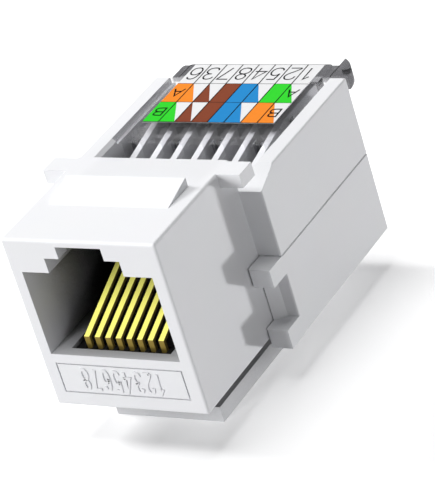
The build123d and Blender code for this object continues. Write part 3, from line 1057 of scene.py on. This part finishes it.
def studio_world(ambient):
    """A white surround that is seen at full strength and lights the jack more weakly."""
    world = bpy.data.worlds.new("studio")
    world.use_nodes = True
    tree = world.node_tree
    tree.nodes.clear()
    seen = add_node(tree, "ShaderNodeBackground", Strength=1.0)
    felt = add_node(tree, "ShaderNodeBackground", Strength=ambient)
    for node in (seen, felt):
        node.inputs["Color"].default_value = (1.0, 1.0, 1.0, 1.0)
    mix = tree.nodes.new("ShaderNodeMixShader")
    output = tree.nodes.new("ShaderNodeOutputWorld")
    tree.links.new(seen_rays(tree), mix.inputs["Fac"])
    tree.links.new(felt.outputs["Background"], mix.inputs[1])
    tree.links.new(seen.outputs["Background"], mix.inputs[2])
    tree.links.new(mix.outputs["Shader"], output.inputs["Surface"])
    bpy.context.scene.world = world


def floor_material():
    """White floor: a lifted white where it is seen, with the shadow, and a quiet grey bounce.

    From below it lets the jack show.
    """
    material = new_material("white floor")
    tree = material.node_tree
    seen = add_node(tree, "ShaderNodeBsdfDiffuse", Color=SEEN_FLOOR)
    lift = add_node(tree, "ShaderNodeEmission", Strength=FLOOR_GLOW)
    shown = tree.nodes.new("ShaderNodeAddShader")
    bounce = add_node(tree, "ShaderNodeBsdfDiffuse", Color=BOUNCED_FLOOR)
    mix = tree.nodes.new("ShaderNodeMixShader")
    side = tree.nodes.new("ShaderNodeNewGeometry")
    gone = tree.nodes.new("ShaderNodeBsdfTransparent")
    sides = tree.nodes.new("ShaderNodeMixShader")
    output = tree.nodes.new("ShaderNodeOutputMaterial")
    link = tree.links.new
    link(seen.outputs["BSDF"], shown.inputs[0])
    link(lift.outputs["Emission"], shown.inputs[1])
    link(seen_rays(tree), mix.inputs["Fac"])
    link(bounce.outputs["BSDF"], mix.inputs[1])
    link(shown.outputs["Shader"], mix.inputs[2])
    link(side.outputs["Backfacing"], sides.inputs["Fac"])
    link(mix.outputs["Shader"], sides.inputs[1])
    link(gone.outputs["BSDF"], sides.inputs[2])
    link(sides.outputs["Shader"], output.inputs["Surface"])
    return material


def studio_floor():
    """A wide floor under the jack that casts no shadow itself."""
    level = CAD_LOW.z - FLOOR_GAP
    corners = [(-1, -1), (1, -1), (1, 1), (-1, 1)]
    data = bpy.data.meshes.new("floor")
    data.from_pydata([(x * FLOOR_HALF, y * FLOOR_HALF, level) for x, y in corners], [], [(0, 1, 2, 3)])
    data.materials.append(floor_material())
    floor = bpy.data.objects.new("floor", data)
    floor.visible_shadow = False
    bpy.context.scene.collection.objects.link(floor)


def studio_lamps():
    """The lamps around the jack, and the one that lights the spring contacts alone."""
    for settings in LAMPS:
        lamp(*settings)
    contacts = bpy.data.collections.new("lit contacts")
    for name in CONTACTS:
        contacts.objects.link(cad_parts[name])
    lamp(*CONTACT_LAMP).light_linking.receiver_collection = contacts


def studio_camera(values):
    """The camera at the photograph's place and angle."""
    data = bpy.data.cameras.new("camera")
    data.lens = values.lens
    data.sensor_width = 36.0
    data.clip_start = 0.01
    camera = bpy.data.objects.new("camera", data)
    turn, rise = values.azimuth, values.elevation
    back = Vector((math.sin(turn) * math.cos(rise), -math.cos(turn) * math.cos(rise), math.sin(rise)))
    right = Vector((math.cos(turn), math.sin(turn), 0.0))
    up = back.cross(right)
    side = right * math.cos(values.roll) + up * math.sin(values.roll)
    top = up * math.cos(values.roll) - right * math.sin(values.roll)
    axes = Matrix((side, top, back)).transposed().to_4x4()
    camera.matrix_world = Matrix.Translation(values.place) @ axes
    bpy.context.scene.collection.objects.link(camera)
    bpy.context.scene.camera = camera


class JACK_OT_studio(bpy.types.Operator):
    """Set up the white floor, the lamps and the camera at the photograph's angle"""

    bl_idname = "jack.studio"
    bl_label = "Set Up Studio"

    def execute(self, context):
        values = context.scene.jack_studio
        context.scene.view_settings.view_transform = "Standard"
        studio_world(values.ambient)
        studio_floor()
        studio_lamps()
        studio_camera(values)
        return {"FINISHED"}


class JACK_PT_finish(bpy.types.Panel):
    """Lists the jack's steps and their values in the sidebar"""

    bl_label = "Keystone Jack"
    bl_idname = "JACK_PT_finish"
    bl_space_type = "VIEW_3D"
    bl_region_type = "UI"
    bl_category = "Keystone Jack"

    def draw(self, context):
        for step, settings in STEPS:
            box = self.layout.box()
            box.operator(step.bl_idname)
            group = getattr(context.scene, settings)
            for name in group.__annotations__:
                box.prop(group, name)


# The operators in their order, and the settings that each one uses
STEPS = (
    (JACK_OT_mouldings, "jack_mouldings"),
    (JACK_OT_metals, "jack_metals"),
    (JACK_OT_cap, "jack_cap"),
    (JACK_OT_label, "jack_label"),
    (JACK_OT_numerals, "jack_numerals"),
    (JACK_OT_studio, "jack_studio"),
)
SETTINGS = {
    "jack_mouldings": JackMouldings,
    "jack_metals": JackMetals,
    "jack_cap": JackCap,
    "jack_label": JackLabel,
    "jack_numerals": JackNumerals,
    "jack_studio": JackStudio,
}


def register():
    for name, group in SETTINGS.items():
        bpy.utils.register_class(group)
        setattr(bpy.types.Scene, name, bpy.props.PointerProperty(type=group))
    for step, _ in STEPS:
        bpy.utils.register_class(step)
    bpy.utils.register_class(JACK_PT_finish)


def unregister():
    bpy.utils.unregister_class(JACK_PT_finish)
    for step, _ in reversed(STEPS):
        bpy.utils.unregister_class(step)
    for name, group in SETTINGS.items():
        delattr(bpy.types.Scene, name)
        bpy.utils.unregister_class(group)


def main():
    register()
    bpy.ops.jack.mouldings()
    bpy.ops.jack.metals()
    bpy.ops.jack.cap()
    bpy.ops.jack.label()
    bpy.ops.jack.numerals()
    bpy.ops.jack.studio()


if __name__ == "__main__":
    main()
